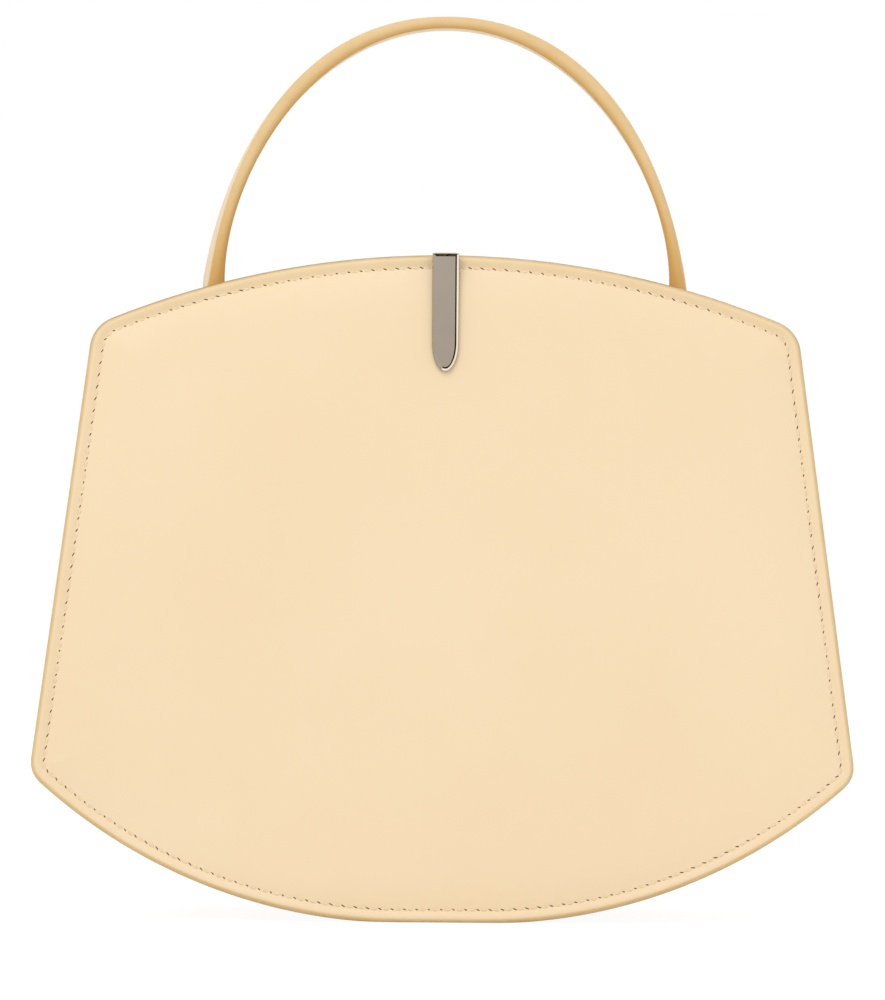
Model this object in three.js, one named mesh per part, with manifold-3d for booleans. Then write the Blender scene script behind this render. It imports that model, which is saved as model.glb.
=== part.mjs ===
// Structured top-handle bag: two stiff crowned panels, a folding gusset, a bail handle and a flip clasp.
// Millimetres, +Z up, the front faces -Y, and the bag stands on z = 0.
import * as THREE from "three";
import { mergeVertices } from "three/addons/utils/BufferGeometryUtils.js";
import Module from "manifold-3d";

const wasm = await Module();
wasm.setup();

// Panel outline, before its four corners are rounded
const PANEL_HEIGHT = 200;
const TOP_HALF_WIDTH = 105.6;
const BOTTOM_HALF_WIDTH = 122.7;
const TOP_RADIUS = 263;
const BOTTOM_FLAT = 12;
const BOTTOM_RADIUS = 161.5;
const TOP_CORNER_RADIUS = 10.5;
const BOTTOM_CORNER_RADIUS = 8;
const LEAST_CORNER_RADIUS = 1;

// Depth of the bag from outer face to outer face
const BOTTOM_DEPTH = 78;
const TOP_DEPTH = 34;

// Panel layers
const LEATHER = 1.4;
const BOARD = 1.6;
const LINING = 0.8;
const EDGE_WALL = 1.6;
const EDGE_ROUND = 0.9;
const STITCH_INSET = 4;
const CROWN = 1.3;
const CROWN_RUN = 14;

// Gusset and base
const GUSSET = 1.2;
const FLANGE_INSET = 0.8;
const WEB_INSET = 7;
const GUSSET_TOP = 168;
const GUSSET_SEAM = 56;
const GUSSET_FOLD = 21;
const SEAM_FOLD = 1.5;
const BASE_BOARD = 1.6;
const BASE_BOARD_HALF_LENGTH = 100;

// Pocket
const POCKET_WIDTH = 110;
const POCKET_HEIGHT = 82;
const POCKET_BOTTOM = 66;
const POCKET_CORNER = 9;

// Clasp and its hinge
const CLASP_WIDTH = 8;
const TONGUE_LENGTH = 35;
const TONGUE_TIP = 8.7;
const TONGUE = 2.2;
const BRIDGE = 1.8;
const BRIDGE_PROUD = 0.4;
const TONGUE_GAP = 1.5;
const KNUCKLE_RADIUS = 1.9;
const CLASP_KNUCKLE = 3.4;
const PIN_RADIUS = 0.9;
const LEAF = 1.2;
const LEAF_LENGTH = 21;
const BACKING_PLATE = 0.8;
const HINGE_RIVET_RADIUS = 1.2;
const HINGE_RIVET_PITCH = 7;
const MAGNET_RADIUS = 5;
const MAGNET_DROP = 28;

// Handle: how far it rises over the rim and sits in from the panel's top corners, and its posts' drop
const HANDLE_RISE = 71;
const HANDLE_MARGIN = 32.6;
const PIVOT_DROP = 24;
const TAB_LENGTH = 12;
const HANDLE_APEX = 3.6;
const HANDLE_BASE_THICKNESS = 5.4;
const HANDLE_WIDTH = 12;
const HANDLE_LEATHER = 1.3;
const OUTER_APEX_REACH = 40;
const OUTER_BASE_REACH = 49.5;
const OUTER_BASE_SPLAY = 6.7;
const INNER_APEX_REACH = 42.2;
const INNER_BASE_REACH = 31;
const INNER_BASE_SPLAY = -1.8;

// Handle fittings
const LUG = 1.5;
const LUG_PLATE_WIDTH = 14;
const LUG_PLATE_HEIGHT = 22;
const LUG_PLATE_DROP = 7;
const LUG_EAR_RADIUS = 5.5;
const LUG_RIVET_RADIUS = 1.4;
const LUG_RIVET_PITCH = 12;
const POST_RADIUS = 2;
const POST_HEAD_RADIUS = 4;
const POST_HEAD = 1;
const SCREW_RADIUS = 1.2;

// Rivet heads stand this far proud and are this much wider than the shank
const RIVET_HEAD = 0.7;
const RIVET_RIM = 1;

// Clearances
const GLUE_GAP = 0.2;
const FIT = 0.3;
const RUNNING = 0.08;
const NOTCH_SIDE = 0.5;
const NOTCH_FLOOR = 0.6;
const BOARD_END = 1.5;

// Facets
const TOP_STEPS = 8;
const CORNER_STEPS = 3;
const BOTTOM_STEPS = 10;
const SIDE_STEPS = 5;
const ARCH_STEPS = 18;
const ROUND_STEPS = 20;

// A length longer than the bag, for cutters that run right through
const THROUGH = 600;

// Levels through a panel, measured outwards from the face of its stitched edge
const BOARD_FACE = -LEATHER - GLUE_GAP;
const LINING_FACE = BOARD_FACE - BOARD - GLUE_GAP;
const PANEL_BACK = LINING_FACE - LINING;
const GUSSET_FACE = PANEL_BACK - GLUE_GAP;
const CROWN_START = STITCH_INSET + 0.4 * CROWN_RUN;
const CROWN_END = STITCH_INSET + CROWN_RUN;
const CROWN_SHOULDER = 0.75 * CROWN;

const LEAN = Math.asin((BOTTOM_DEPTH - TOP_DEPTH) / 2 / PANEL_HEIGHT);
const panelFrame = new THREE.Matrix4()
  .makeTranslation(0, -BOTTOM_DEPTH / 2, 0)
  .multiply(new THREE.Matrix4().makeRotationX(-LEAN));

const materials = {
  leather: { color: "#f9e1bc", roughness: 0.5, metalness: 0 },
  strap: { color: "#e2ba8a", roughness: 0.5, metalness: 0 },
  foam: { color: "#efe9dc", roughness: 0.9, metalness: 0 },
  board: { color: "#b9a98c", roughness: 0.9, metalness: 0 },
  lining: { color: "#e6cfa6", roughness: 0.8, metalness: 0 },
  metal: { color: "#a99e8f", roughness: 0.2, metalness: 1 },
};

// Solids

// Closed solid through rings of equally many points, capped at both ends
// Quads split along their shorter diagonal, so the two walls of a twisted sheet stay apart
// flat drops a point of an end ring to the plane of its cap
function loft(rings, flat) {
  const count = rings[0].length;
  const points = rings.flat();
  const triangles = [];
  for (let i = 0; i + 1 < rings.length; i++) {
    for (let j = 0; j < count; j++) {
      const next = (j + 1) % count;
      const [a, b] = [i * count + j, i * count + next];
      const [c, d] = [b + count, a + count];
      const short = points[a].distanceTo(points[c]) < points[b].distanceTo(points[d]);
      triangles.push(short ? [a, b, c] : [a, b, d], short ? [a, c, d] : [b, c, d]);
    }
  }
  const cap = (ring, first, forward) => {
    const contour = ring.map(flat);
    const ringTurn = THREE.ShapeUtils.area(contour) > 0;
    for (const face of THREE.ShapeUtils.triangulateShape(contour, [])) {
      const faceTurn = THREE.ShapeUtils.area(face.map((i) => contour[i])) > 0;
      const ordered = (faceTurn === ringTurn) === forward ? face : [face[0], face[2], face[1]];
      triangles.push(ordered.map((i) => i + first));
    }
  };
  cap(rings[0], 0, false);
  cap(rings[rings.length - 1], points.length - count, true);
  const volume = triangles.reduce(
    (sum, [a, b, c]) => sum + points[a].dot(new THREE.Vector3().crossVectors(points[b], points[c])),
    0,
  );
  const facing = volume > 0 ? triangles : triangles.map(([a, b, c]) => [a, c, b]);
  return new THREE.BufferGeometry().setFromPoints(points).setIndex(facing.flat());
}

function toSolid(geometry) {
  const bare = geometry.clone();
  bare.deleteAttribute("normal");
  bare.deleteAttribute("uv");
  const merged = mergeVertices(bare);
  return new wasm.Manifold(
    new wasm.Mesh({
      numProp: 3,
      vertProperties: merged.attributes.position.array,
      triVerts: new Uint32Array(merged.index.array),
    }),
  );
}

function toGeometry(solid) {
  const mesh = solid.getMesh();
  return new THREE.BufferGeometry()
    .setAttribute("position", new THREE.BufferAttribute(mesh.vertProperties, 3))
    .setIndex(new THREE.BufferAttribute(mesh.triVerts, 1));
}

const cut = (geometry, tools) =>
  toGeometry(tools.reduce((rest, tool) => rest.subtract(toSolid(tool)), toSolid(geometry)));
const join = (pieces) => toGeometry(pieces.map(toSolid).reduce((whole, piece) => whole.add(piece)));
const common = (a, b) => toGeometry(toSolid(a).intersect(toSolid(b)));

function block([x0, x1], [y0, y1], [z0, z1]) {
  const box = new THREE.BoxGeometry(x1 - x0, y1 - y0, z1 - z0);
  return box.translate((x0 + x1) / 2, (y0 + y1) / 2, (z0 + z1) / 2);
}

const rodAlongX = (radius, [x0, x1], y, z) =>
  new THREE.CylinderGeometry(radius, radius, x1 - x0, ROUND_STEPS)
    .rotateZ(Math.PI / 2)
    .translate((x0 + x1) / 2, y, z);

const rodAlongY = (radius, [y0, y1], x, z) =>
  new THREE.CylinderGeometry(radius, radius, y1 - y0, ROUND_STEPS).translate(x, (y0 + y1) / 2, z);

const turned = (profile) =>
  new THREE.LatheGeometry(
    profile.map(([radius, along]) => new THREE.Vector2(radius, along)),
    ROUND_STEPS,
  );

// Extrudes a shape drawn in Y and Z along X, centred on x = 0
const alongX = (shape, length) =>
  new THREE.ExtrudeGeometry(shape, { depth: length, bevelEnabled: false, curveSegments: ROUND_STEPS })
    .translate(0, 0, -length / 2)
    .applyMatrix4(
      new THREE.Matrix4().makeBasis(
        new THREE.Vector3(0, 1, 0),
        new THREE.Vector3(0, 0, 1),
        new THREE.Vector3(1, 0, 0),
      ),
    );

// Extrudes a shape drawn in X and Z along Y, centred on y = 0
const alongY = (shape, length) =>
  new THREE.ExtrudeGeometry(shape, { depth: length, bevelEnabled: false, curveSegments: ROUND_STEPS })
    .translate(0, 0, -length / 2)
    .rotateX(Math.PI / 2);

// Panel outline

const topCentre = new THREE.Vector2(0, PANEL_HEIGHT - TOP_RADIUS);
const bottomCentre = new THREE.Vector2(BOTTOM_FLAT, BOTTOM_RADIUS);
const heightOnArc = (centre, radius, x, sign) =>
  centre.y + sign * Math.sqrt(radius * radius - (x - centre.x) ** 2);
const sideTop = new THREE.Vector2(
  TOP_HALF_WIDTH,
  heightOnArc(topCentre, TOP_RADIUS, TOP_HALF_WIDTH, 1),
);
const sideBottom = new THREE.Vector2(
  BOTTOM_HALF_WIDTH,
  heightOnArc(bottomCentre, BOTTOM_RADIUS, BOTTOM_HALF_WIDTH, -1),
);
const sideUp = sideTop.clone().sub(sideBottom).normalize();
const sideOut = new THREE.Vector2(sideUp.y, -sideUp.x);
const sideReach = sideTop.dot(sideOut);

// Where the side meets an arc, both moved in by the same inset
function sharpCorner(centre, radius, inset, sign) {
  const away = sideReach - inset - centre.dot(sideOut);
  const along = Math.sqrt((radius - inset) ** 2 - away * away);
  return centre.clone().addScaledVector(sideOut, away).addScaledVector(sideUp, sign * along);
}

function arcPoints(centre, radius, from, to, steps) {
  const at = (i) => from + ((to - from) * i) / steps;
  return Array.from({ length: steps + 1 }, (_, i) =>
    new THREE.Vector2(Math.cos(at(i)), Math.sin(at(i))).multiplyScalar(radius).add(centre),
  );
}

// Right-hand top arc with its rounded corner, and right-hand bottom arc with its own, from top to bottom
function halfOutline(inset) {
  const sideAngle = sideOut.angle();
  const upperRound = Math.max(TOP_CORNER_RADIUS - inset, LEAST_CORNER_RADIUS);
  const upper = sharpCorner(topCentre, TOP_RADIUS, inset + upperRound, 1);
  const upperAngle = upper.clone().sub(topCentre).angle();
  const lowerRound = Math.max(BOTTOM_CORNER_RADIUS - inset, LEAST_CORNER_RADIUS);
  const lower = sharpCorner(bottomCentre, BOTTOM_RADIUS, inset + lowerRound, -1);
  const lowerAngle = lower.clone().sub(bottomCentre).angle() - 2 * Math.PI;
  return {
    upper: [
      ...arcPoints(topCentre, TOP_RADIUS - inset, Math.PI / 2, upperAngle, TOP_STEPS).slice(0, -1),
      ...arcPoints(upper, upperRound, upperAngle, sideAngle, CORNER_STEPS),
    ],
    lower: [
      ...arcPoints(lower, lowerRound, sideAngle, lowerAngle, CORNER_STEPS).slice(0, -1),
      ...arcPoints(bottomCentre, BOTTOM_RADIUS - inset, lowerAngle, -Math.PI / 2, BOTTOM_STEPS),
    ],
  };
}

const mirrored = (points) => points.map((p) => new THREE.Vector2(-p.x, p.y)).reverse();

function outline(inset) {
  const half = halfOutline(inset);
  const right = [...half.upper, ...half.lower];
  return [...right, ...mirrored(right.slice(1))];
}

// Point of the slanted side at a height on the panel
function sidePoint(height, inset) {
  const x = (sideReach - inset - height * sideOut.y) / sideOut.x;
  return new THREE.Vector2(x, height);
}

// In a panel's own frame z runs up the panel and -y points out of it
const ring = (inset, level) => outline(inset).map((p) => new THREE.Vector3(p.x, -level, p.y));
const panelLoft = (steps) =>
  loft(
    steps.map(([inset, level]) => ring(inset, level)),
    (p) => new THREE.Vector2(p.x, p.z),
  );

// The same point on the front and on the back panel, in the bag's frame
const onFront = (x, height, level) => new THREE.Vector3(x, -level, height).applyMatrix4(panelFrame);
const onBack = (x, height, level) => onFront(x, height, level).multiply(new THREE.Vector3(1, -1, 1));

// Scene graph

const bag = new THREE.Group();

function addPiece(group, name, geometry, material) {
  const mesh = new THREE.Mesh(geometry, new THREE.MeshStandardMaterial(materials[material]));
  mesh.name = name;
  group.add(mesh);
  return mesh;
}

function addPanelGroup(turn) {
  const turnedGroup = new THREE.Group();
  turnedGroup.rotation.z = turn;
  const leaned = new THREE.Group();
  leaned.position.y = -BOTTOM_DEPTH / 2;
  leaned.rotation.x = -LEAN;
  turnedGroup.add(leaned);
  bag.add(turnedGroup);
  return leaned;
}

const front = addPanelGroup(0);
const back = addPanelGroup(Math.PI);

// Clasp and hinge places that the panels are cut for

const rimHeight = onFront(0, PANEL_HEIGHT, 0).z;
const bridgeTop = rimHeight + BRIDGE_PROUD;
const notchDepth = BRIDGE - BRIDGE_PROUD + NOTCH_FLOOR;
const leafLevel = CROWN + GLUE_GAP;
const hingeLevel = leafLevel + KNUCKLE_RADIUS;
const hingeAxis = { z: bridgeTop - BRIDGE / 2 };
const hingeHeight = (hingeAxis.z - hingeLevel * Math.sin(LEAN)) / Math.cos(LEAN);
hingeAxis.y = onBack(0, hingeHeight, hingeLevel).y;
const leafBottom = hingeHeight - LEAF_LENGTH;
const hingeRivetHeights = [0, 1].map((i) => leafBottom + CLASP_WIDTH / 2 + i * HINGE_RIVET_PITCH);

// Handle places
const handleTop = PANEL_HEIGHT + HANDLE_RISE;
const handleOuterX = TOP_HALF_WIDTH - HANDLE_MARGIN;
const pivotHeight = PANEL_HEIGHT - PIVOT_DROP;
const handleBase = pivotHeight + TAB_LENGTH;

// Handle lug places, in the back panel's frame, where world left lies at +x
const pivotOnBack = new THREE.Vector3(0, 0, pivotHeight)
  .applyMatrix4(new THREE.Matrix4().makeRotationZ(Math.PI))
  .applyMatrix4(panelFrame.clone().invert());
const lugInner = handleOuterX + FIT;
const lugMiddle = pivotOnBack.z - LUG_PLATE_DROP;
const lugRivetX = lugInner + LUG + (LUG_PLATE_WIDTH - LUG) / 2;
const lugRivets = [
  ["left", 1],
  ["right", -1],
].flatMap(([side, sign]) =>
  [
    ["upper", 1],
    ["lower", -1],
  ].map(([row, up]) => ({
    name: `lug_rivet_${side}_${row}`,
    x: sign * lugRivetX,
    height: lugMiddle + (up * LUG_RIVET_PITCH) / 2,
  })),
);

// Panels

const floorCutter = block(
  [-THROUGH, THROUGH],
  [-THROUGH, THROUGH],
  [-THROUGH, 0],
).applyMatrix4(panelFrame.clone().invert());
const rimNotch = block(
  [-CLASP_WIDTH / 2 - NOTCH_SIDE, CLASP_WIDTH / 2 + NOTCH_SIDE],
  [-THROUGH, THROUGH],
  [PANEL_HEIGHT - notchDepth, THROUGH],
);
const hole = (radius, x, height) => rodAlongY(radius, [-THROUGH, THROUGH], x, height);

const leatherTray = () =>
  panelLoft([
    [CROWN_END, CROWN - LEATHER],
    [CROWN_START, CROWN_SHOULDER - LEATHER],
    [STITCH_INSET, -LEATHER],
    [EDGE_WALL, -LEATHER],
    [EDGE_WALL, PANEL_BACK],
    [EDGE_ROUND, PANEL_BACK],
    [0, PANEL_BACK + EDGE_ROUND],
    [0, -EDGE_ROUND],
    [EDGE_ROUND, 0],
    [STITCH_INSET, 0],
    [CROWN_START, CROWN_SHOULDER],
    [CROWN_END, CROWN],
  ]);

const foamPad = () =>
  panelLoft([
    [CROWN_START, -LEATHER],
    [CROWN_START, CROWN_SHOULDER - LEATHER - GLUE_GAP],
    [CROWN_END, CROWN - LEATHER - GLUE_GAP],
  ]);

const sheetInTray = (face, thickness) =>
  panelLoft([
    [EDGE_WALL + FIT, face],
    [EDGE_WALL + FIT, face - thickness],
  ]);

function addPanel(group, side, { clear, fixed, magnet }) {
  addPiece(group, `${side}_leather`, cut(leatherTray(), [floorCutter, rimNotch, ...clear]), "leather");
  addPiece(group, `${side}_foam`, clear.length ? cut(foamPad(), clear) : foamPad(), "foam");
  const board = sheetInTray(BOARD_FACE, BOARD);
  addPiece(group, `${side}_board`, cut(board, [rimNotch, ...clear, ...fixed, ...magnet]), "board");
  const lining = sheetInTray(LINING_FACE, LINING);
  addPiece(group, `${side}_lining`, cut(lining, [rimNotch, ...clear, ...fixed]), "lining");
}

const magnetHeight = PANEL_HEIGHT - MAGNET_DROP;
addPanel(front, "front", { clear: [], fixed: [], magnet: [hole(MAGNET_RADIUS + FIT, 0, magnetHeight)] });
addPanel(back, "back", {
  clear: hingeRivetHeights.map((height) => hole(HINGE_RIVET_RADIUS + FIT, 0, height)),
  fixed: lugRivets.map(({ x, height }) => hole(LUG_RIVET_RADIUS + FIT, x, height)),
  magnet: [],
});
addPiece(
  front,
  "closure_magnet",
  rodAlongY(MAGNET_RADIUS, [-BOARD_FACE, -BOARD_FACE + BOARD], 0, magnetHeight),
  "metal",
);

// Slip pocket: a patch with rounded lower corners on the back lining

function pocketShape() {
  const half = POCKET_WIDTH / 2;
  const cornerHeight = POCKET_BOTTOM + POCKET_CORNER;
  const shape = new THREE.Shape();
  shape.moveTo(-half, POCKET_BOTTOM + POCKET_HEIGHT);
  shape.lineTo(-half, cornerHeight);
  shape.absarc(-half + POCKET_CORNER, cornerHeight, POCKET_CORNER, Math.PI, 1.5 * Math.PI);
  shape.lineTo(half - POCKET_CORNER, POCKET_BOTTOM);
  shape.absarc(half - POCKET_CORNER, cornerHeight, POCKET_CORNER, 1.5 * Math.PI, 2 * Math.PI);
  shape.lineTo(half, POCKET_BOTTOM + POCKET_HEIGHT);
  return shape;
}

const pocket = addPiece(back, "slip_pocket", alongY(pocketShape(), LINING), "lining");
pocket.position.y = -GUSSET_FACE + LINING / 2;

// Gusset: flanges behind the panels' edges and a web between them, folded in along the middle of each side

// Cross-section at one station; at(inset) gives the panel point there
// fold is how far the middle of a side draws in, and the flat base has none
function gussetRing(at, fold) {
  const edge = (place, inset, level) => place(at(inset).x, at(inset).y, level);
  const middle = (inset) => (fold ? [edge(onFront, inset + fold, GUSSET_FACE).setY(0)] : []);
  const inner = WEB_INSET + GUSSET;
  return [
    edge(onFront, FLANGE_INSET, GUSSET_FACE),
    edge(onFront, inner, GUSSET_FACE),
    ...middle(inner),
    edge(onBack, inner, GUSSET_FACE),
    edge(onBack, FLANGE_INSET, GUSSET_FACE),
    edge(onBack, FLANGE_INSET, GUSSET_FACE - GUSSET),
    edge(onBack, WEB_INSET, GUSSET_FACE - GUSSET),
    ...middle(WEB_INSET),
    edge(onFront, WEB_INSET, GUSSET_FACE - GUSSET),
    edge(onFront, FLANGE_INSET, GUSSET_FACE - GUSSET),
  ];
}

// A sheet lying on the inside of the web, between two insets, ending short of the panels by endGap
function sheetRing(at, fold, inset, thickness, endGap) {
  const edge = (place, depth) => place(at(depth).x, at(depth).y, GUSSET_FACE - endGap);
  const middle = (depth) => (fold ? [edge(onFront, depth + fold).setY(0)] : []);
  const far = inset + thickness;
  return [
    edge(onFront, inset),
    ...middle(inset),
    edge(onBack, inset),
    edge(onBack, far),
    ...middle(far),
    edge(onFront, far),
  ];
}

const capOnSide = (p) => new THREE.Vector2(p.y, p.x);
const sideHeights = Array.from(
  { length: SIDE_STEPS + 1 },
  (_, i) => GUSSET_SEAM + ((GUSSET_TOP - GUSSET_SEAM) * i) / SIDE_STEPS,
);
const foldAt = (height) =>
  SEAM_FOLD + ((GUSSET_FOLD - SEAM_FOLD) * (height - GUSSET_SEAM)) / (GUSSET_TOP - GUSSET_SEAM);
const baseEnd = GUSSET_SEAM - FIT;

// Stations of the base, from its right-hand end round to the left; each gives a point for an inset
const lowerCount = halfOutline(0).lower.length;
const rightStations = [
  (inset) => sidePoint(baseEnd, inset),
  ...Array.from({ length: lowerCount }, (_, i) => (inset) => halfOutline(inset).lower[i]),
];
const leftStations = rightStations
  .map((station) => (inset) => new THREE.Vector2(-station(inset).x, station(inset).y))
  .reverse();
const baseStations = [...rightStations, ...leftStations];

const liningInset = WEB_INSET + GUSSET + GLUE_GAP;
for (const [side, sign] of [
  ["left", -1],
  ["right", 1],
]) {
  const station = (height) => (inset) => {
    const p = sidePoint(height, inset);
    return new THREE.Vector2(sign * p.x, p.y);
  };
  const web = sideHeights.map((height) => gussetRing(station(height), foldAt(height)));
  addPiece(bag, `gusset_${side}`, loft(web, capOnSide), "leather");
  const lining = sideHeights.map((height) =>
    sheetRing(station(height), foldAt(height), liningInset, LINING, 0),
  );
  addPiece(bag, `gusset_lining_${side}`, loft(lining, capOnSide), "lining");
}
addPiece(
  bag,
  "gusset_base",
  loft(
    baseStations.map((at) => gussetRing(at, 0)),
    capOnSide,
  ),
  "leather",
);
const baseLiningInset = liningInset + BASE_BOARD + GLUE_GAP;
addPiece(
  bag,
  "gusset_lining_base",
  loft(
    baseStations.map((at) => sheetRing(at, 0, baseLiningInset, LINING, 0)),
    capOnSide,
  ),
  "lining",
);

// Base board, trimmed to its length out of the full run of the base
const boardRun = loft(
  baseStations.map((at) => sheetRing(at, 0, liningInset, BASE_BOARD, BOARD_END)),
  capOnSide,
);
const boardLength = block(
  [-BASE_BOARD_HALF_LENGTH, BASE_BOARD_HALF_LENGTH],
  [-THROUGH, THROUGH],
  [-THROUGH, THROUGH],
);
addPiece(bag, "base_board", common(boardRun, boardLength), "board");

// Clasp: a tongue on the front, a bridge through the rim notches and a knuckle at the back

// Where a line up the front panel at one level crosses a height in the bag's frame
function frontLevelAt(level, z) {
  const height = (z - level * Math.sin(LEAN)) / Math.cos(LEAN);
  return onFront(0, height, level);
}

function claspGeometry() {
  const tip = PANEL_HEIGHT - TONGUE_LENGTH;
  const side = [
    frontLevelAt(TONGUE_GAP + TONGUE, bridgeTop),
    onFront(0, tip, TONGUE_GAP + TONGUE),
    onFront(0, tip, TONGUE_GAP),
    frontLevelAt(TONGUE_GAP, bridgeTop - BRIDGE),
    new THREE.Vector3(0, hingeAxis.y, bridgeTop - BRIDGE),
    new THREE.Vector3(0, hingeAxis.y, bridgeTop),
  ].map((p) => new THREE.Vector2(p.y, p.z));
  const bar = alongX(new THREE.Shape(side), CLASP_WIDTH);
  const tipBottom = Math.min(...side.map((p) => p.y));
  const half = CLASP_WIDTH / 2;
  const face = new THREE.Shape();
  face.moveTo(half, bridgeTop + FIT);
  face.lineTo(-half, bridgeTop + FIT);
  face.lineTo(-half, tipBottom + TONGUE_TIP);
  face.absellipse(0, tipBottom + TONGUE_TIP, half, TONGUE_TIP, Math.PI, 2 * Math.PI);
  const rounded = common(bar, alongY(face, THROUGH));
  const knuckleClear = KNUCKLE_RADIUS + FIT;
  const besideKnuckle = [-1, 1].map((sign) => {
    const ends = [(sign * CLASP_KNUCKLE) / 2, sign * THROUGH].sort((a, b) => a - b);
    return block(ends, [hingeAxis.y - knuckleClear, THROUGH], [-THROUGH, THROUGH]);
  });
  const knuckle = rodAlongX(
    KNUCKLE_RADIUS,
    [-CLASP_KNUCKLE / 2, CLASP_KNUCKLE / 2],
    hingeAxis.y,
    hingeAxis.z,
  );
  const pinHole = rodAlongX(PIN_RADIUS + RUNNING, [-THROUGH, THROUGH], hingeAxis.y, hingeAxis.z);
  return cut(join([cut(rounded, besideKnuckle), knuckle]), [pinHole]);
}
addPiece(bag, "clasp_bar", claspGeometry(), "metal");
addPiece(
  bag,
  "hinge_pin",
  rodAlongX(PIN_RADIUS, [-CLASP_WIDTH / 2, CLASP_WIDTH / 2], hingeAxis.y, hingeAxis.z),
  "metal",
);

// Hinge leaf on the back panel, with a knuckle on each side of the clasp's own
function leafGeometry() {
  const half = CLASP_WIDTH / 2;
  const plate = block([-half, half], [-leafLevel - LEAF, -leafLevel], [leafBottom, hingeHeight]);
  const barrel = rodAlongX(KNUCKLE_RADIUS, [-half, half], -hingeLevel, hingeHeight);
  const opening = CLASP_KNUCKLE / 2 + FIT;
  const claspSpace = block(
    [-opening, opening],
    [-THROUGH, THROUGH],
    [hingeHeight - KNUCKLE_RADIUS - FIT, THROUGH],
  );
  const pinHole = rodAlongX(PIN_RADIUS + RUNNING, [-THROUGH, THROUGH], -hingeLevel, hingeHeight);
  const rivetHoles = hingeRivetHeights.map((height) => hole(HINGE_RIVET_RADIUS + FIT, 0, height));
  return cut(join([plate, barrel]), [claspSpace, pinHole, ...rivetHoles]);
}
addPiece(back, "hinge_leaf", leafGeometry(), "metal");

const backingFace = -GUSSET_FACE;
const backingPlate = block(
  [-CLASP_WIDTH / 2, CLASP_WIDTH / 2],
  [backingFace, backingFace + BACKING_PLATE],
  [leafBottom, leafBottom + CLASP_WIDTH + HINGE_RIVET_PITCH],
);
const backingHoles = hingeRivetHeights.map((height) => hole(HINGE_RIVET_RADIUS + FIT, 0, height));
addPiece(back, "hinge_backing_plate", cut(backingPlate, backingHoles), "metal");

// A rivet with its shank along +Y from a domed head whose underside is at y = 0
const rivet = (radius, length) =>
  turned([
    [0, -RIVET_HEAD],
    [radius + RIVET_RIM / 2, -RIVET_HEAD],
    [radius + RIVET_RIM, 0],
    [radius, 0],
    [radius, length],
    [0, length],
  ]);

hingeRivetHeights.forEach((height, i) => {
  const grip = backingFace + BACKING_PLATE + leafLevel + LEAF + GLUE_GAP;
  const piece = addPiece(
    back,
    `hinge_rivet_${["lower", "upper"][i]}`,
    rivet(HINGE_RIVET_RADIUS, grip),
    "metal",
  );
  piece.position.set(0, -leafLevel - LEAF - GLUE_GAP, height);
});

// Handle: an arch band drawn from the front, in three layers

function archCurve(apex, apexReach, baseX, baseReach, splay) {
  return new THREE.CubicBezierCurve(
    new THREE.Vector2(0, apex),
    new THREE.Vector2(apexReach, apex),
    new THREE.Vector2(baseX - splay, handleBase + baseReach),
    new THREE.Vector2(baseX, handleBase),
  );
}
const outerArch = archCurve(
  handleTop,
  OUTER_APEX_REACH,
  handleOuterX,
  OUTER_BASE_REACH,
  OUTER_BASE_SPLAY,
);
const handleInnerX = handleOuterX - HANDLE_BASE_THICKNESS;
const innerArch = archCurve(
  handleTop - HANDLE_APEX,
  INNER_APEX_REACH,
  handleInnerX,
  INNER_BASE_REACH,
  INNER_BASE_SPLAY,
);
const tabEnd = pivotHeight - HANDLE_WIDTH / 2;

// Points of an arch from its apex to the end of its right-hand tab, moved out by offset
function archPoints(curve, offset) {
  const points = Array.from({ length: ARCH_STEPS + 1 }, (_, i) => {
    const t = i / ARCH_STEPS;
    const tangent = curve.getTangent(t);
    return curve.getPoint(t).addScaledVector(new THREE.Vector2(-tangent.y, tangent.x), offset);
  });
  const foot = points[points.length - 1];
  return [...points.slice(1), new THREE.Vector2(foot.x, tabEnd - FIT)];
}

// A layer of the strap between two offset arches, with half-round tab ends and holes for the posts
function strapLayer(outer, inner) {
  const band = new THREE.Shape([
    ...mirrored(outer),
    ...outer,
    ...[...inner].reverse(),
    ...[...mirrored(inner)].reverse(),
  ]);
  const half = HANDLE_WIDTH / 2;
  const sideView = new THREE.Shape();
  sideView.moveTo(half, handleTop + FIT);
  sideView.lineTo(-half, handleTop + FIT);
  sideView.lineTo(-half, pivotHeight);
  sideView.absarc(0, pivotHeight, half, Math.PI, 2 * Math.PI);
  const rounded = common(alongY(band, HANDLE_WIDTH), alongX(sideView, THROUGH));
  const postHole = rodAlongX(POST_RADIUS + RUNNING, [-THROUGH, THROUGH], 0, pivotHeight);
  return cut(rounded, [postHole]);
}

addPiece(
  bag,
  "handle_outer",
  strapLayer(archPoints(outerArch, 0), archPoints(outerArch, -HANDLE_LEATHER)),
  "strap",
);
addPiece(
  bag,
  "handle_core",
  strapLayer(
    archPoints(outerArch, -HANDLE_LEATHER - GLUE_GAP),
    archPoints(innerArch, HANDLE_LEATHER + GLUE_GAP),
  ),
  "board",
);
addPiece(
  bag,
  "handle_inner",
  strapLayer(archPoints(innerArch, HANDLE_LEATHER), archPoints(innerArch, 0)),
  "strap",
);

// Handle lugs: a plate riveted inside the back panel and an ear that carries the strap's post

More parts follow.
